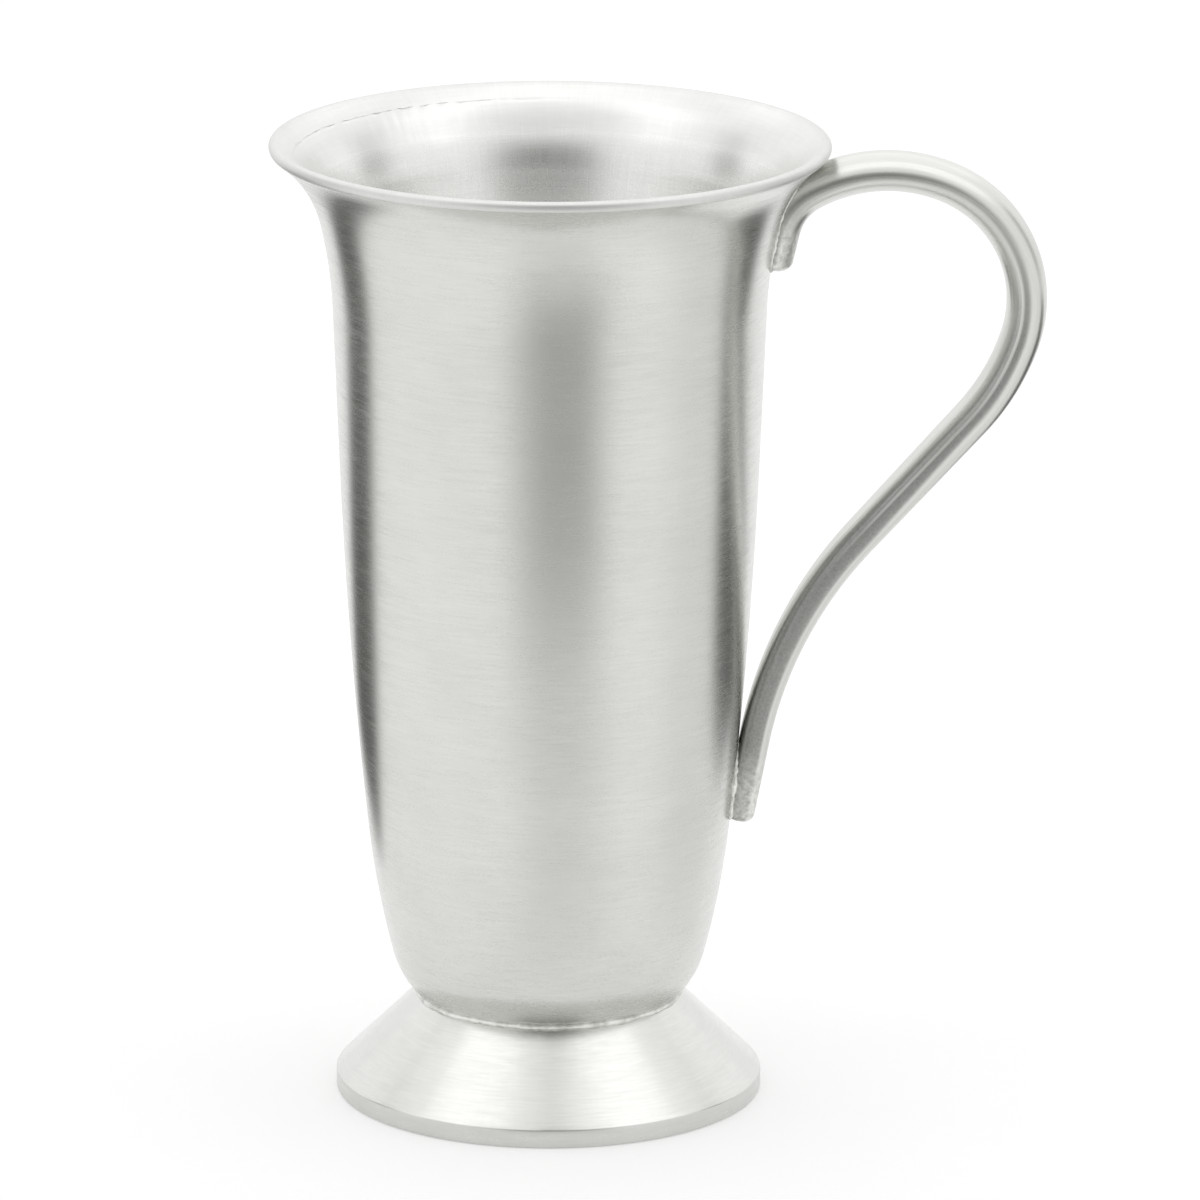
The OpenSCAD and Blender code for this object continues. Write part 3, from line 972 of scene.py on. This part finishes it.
def around(first, last, low, high):
    """Edges of a board that turns round the mug from one bearing to another; 0 faces the camera."""
    def edges(share):
        turn = math.radians(first + (last - first) * share)
        return [(reach * math.sin(turn), -reach * math.cos(turn), z) for reach, z in (low, high)]
    return edges


shade_z, cloth_z = 0.0004, 0.0008


def strip(points):
    """Edges of a strip of the table through a row of points: x, near edge and far edge."""
    def edges(share):
        x = points[0][0] + (points[-1][0] - points[0][0]) * share
        i = 0
        while i < len(points) - 2 and points[i + 1][0] < x:
            i += 1
        (x0, near0, far0), (x1, near1, far1) = points[i], points[i + 1]
        part = (x - x0) / (x1 - x0)
        return [(x, near0 + (near1 - near0) * part, cloth_z), (x, far0 + (far1 - far0) * part, cloth_z)]
    return edges


hang_board("front_cloth", around(-33, 38, (0.225, cloth_z), (1.3, cloth_z)),
           board_cloth("front cloth", (0.44, 0.442, 0.432, 1), 0.48, 0.34, 0.07, 0.4))
hang_board("front_board", around(-39, 43, (1.3, 0.05), (1.3, 1.58)),
           board_cloth("front board", (0.30, 0.302, 0.295, 1), 0.32, 0.32, 0.05, 0.45))
hang_board("front_shade", around(-34, 44, (0.037, shade_z), (0.30, shade_z)),
           board_cloth("front shade", (0.86, 0.86, 0.85, 1), 0.45, 0.45, 0.2, 0.1))
hang_board("lamp_gap", around(-9, 20, (0.135, 0.30), (0.36, 0.30)),
           board_cloth("lamp gap", (0.24, 0.24, 0.233, 1), 0.30, 0.60, 0.14, 0.2))
hang_board("right_shade", around(52, 124, (0.05, shade_z), (1.2, shade_z)),
           board_cloth("right shade", (0.90, 0.90, 0.89, 1), 0.4, 0.4, 0.05, 0.3))
gap_cloth = board_cloth("gap cloth", (0.09, 0.094, 0.086, 1), 0.06, 0.06, 0.20, 0.30)
left_strip = ((-0.80, 0.165, 0.62), (-0.30, 0.090, 0.36), (-0.075, 0.057, 0.21))
right_strip = ((0.125, 0.072, 0.22), (0.20, 0.035, 0.27), (0.30, 0.040, 0.30),
               (0.40, 0.062, 0.31), (0.50, 0.080, 0.33), (0.85, 0.125, 0.42))
hang_board("left_gap", strip(left_strip), gap_cloth)
hang_board("right_gap", strip(right_strip), gap_cloth)
side_cloth = board_cloth("side cloth", (0.5, 0.502, 0.49, 1), 0.2, 0.2, 0.05, 0.3)
hang_board("left_board", around(-117, -93, (0.9, 0.1), (0.9, 0.75)), side_cloth)
hang_board("right_board", around(93, 117, (0.9, 0.1), (0.9, 0.75)), side_cloth)


# Camera: a long lens, a little above the mug, with the handle to the right. It is set by where the
# middle of the mug's axis falls in the picture, in pixels, and by how large a millimetre is there.
picture_side = 1200
picture_middle = picture_side / 2
mug_middle_px = (549.37, 616.83)
px_per_mm = 5.919
camera_far = 1683.7
camera_lift = math.radians(15.406)
camera_roll = math.radians(0.186)
film_w = 36.0
lens = bpy.data.cameras.new("camera")
lens.sensor_fit = "HORIZONTAL"
lens.sensor_width = film_w
lens.lens = film_w * px_per_mm * camera_far / picture_side
lens.clip_end = 50.0
camera = bpy.data.objects.new("camera", lens)
bpy.context.scene.collection.objects.link(camera)
mug_middle = Vector((0, 0, mug_h / 2 * MM))
camera_way = Vector((0, -math.cos(camera_lift), math.sin(camera_lift)))
camera.location = mug_middle + camera_far * MM * camera_way
camera_right = Vector((1, 0, 0))
camera_up = Vector((0, math.sin(camera_lift), math.cos(camera_lift)))
aim = mug_middle + camera_right * (picture_middle - mug_middle_px[0]) / px_per_mm * MM
aim += camera_up * (mug_middle_px[1] - picture_middle) / px_per_mm * MM
turn = (aim - camera.location).to_track_quat("-Z", "Y")
camera.rotation_mode = "QUATERNION"
camera.rotation_quaternion = turn @ Quaternion((0, 0, 1), camera_roll)
bpy.context.scene.camera = camera
bpy.context.scene.view_settings.view_transform = "Standard"
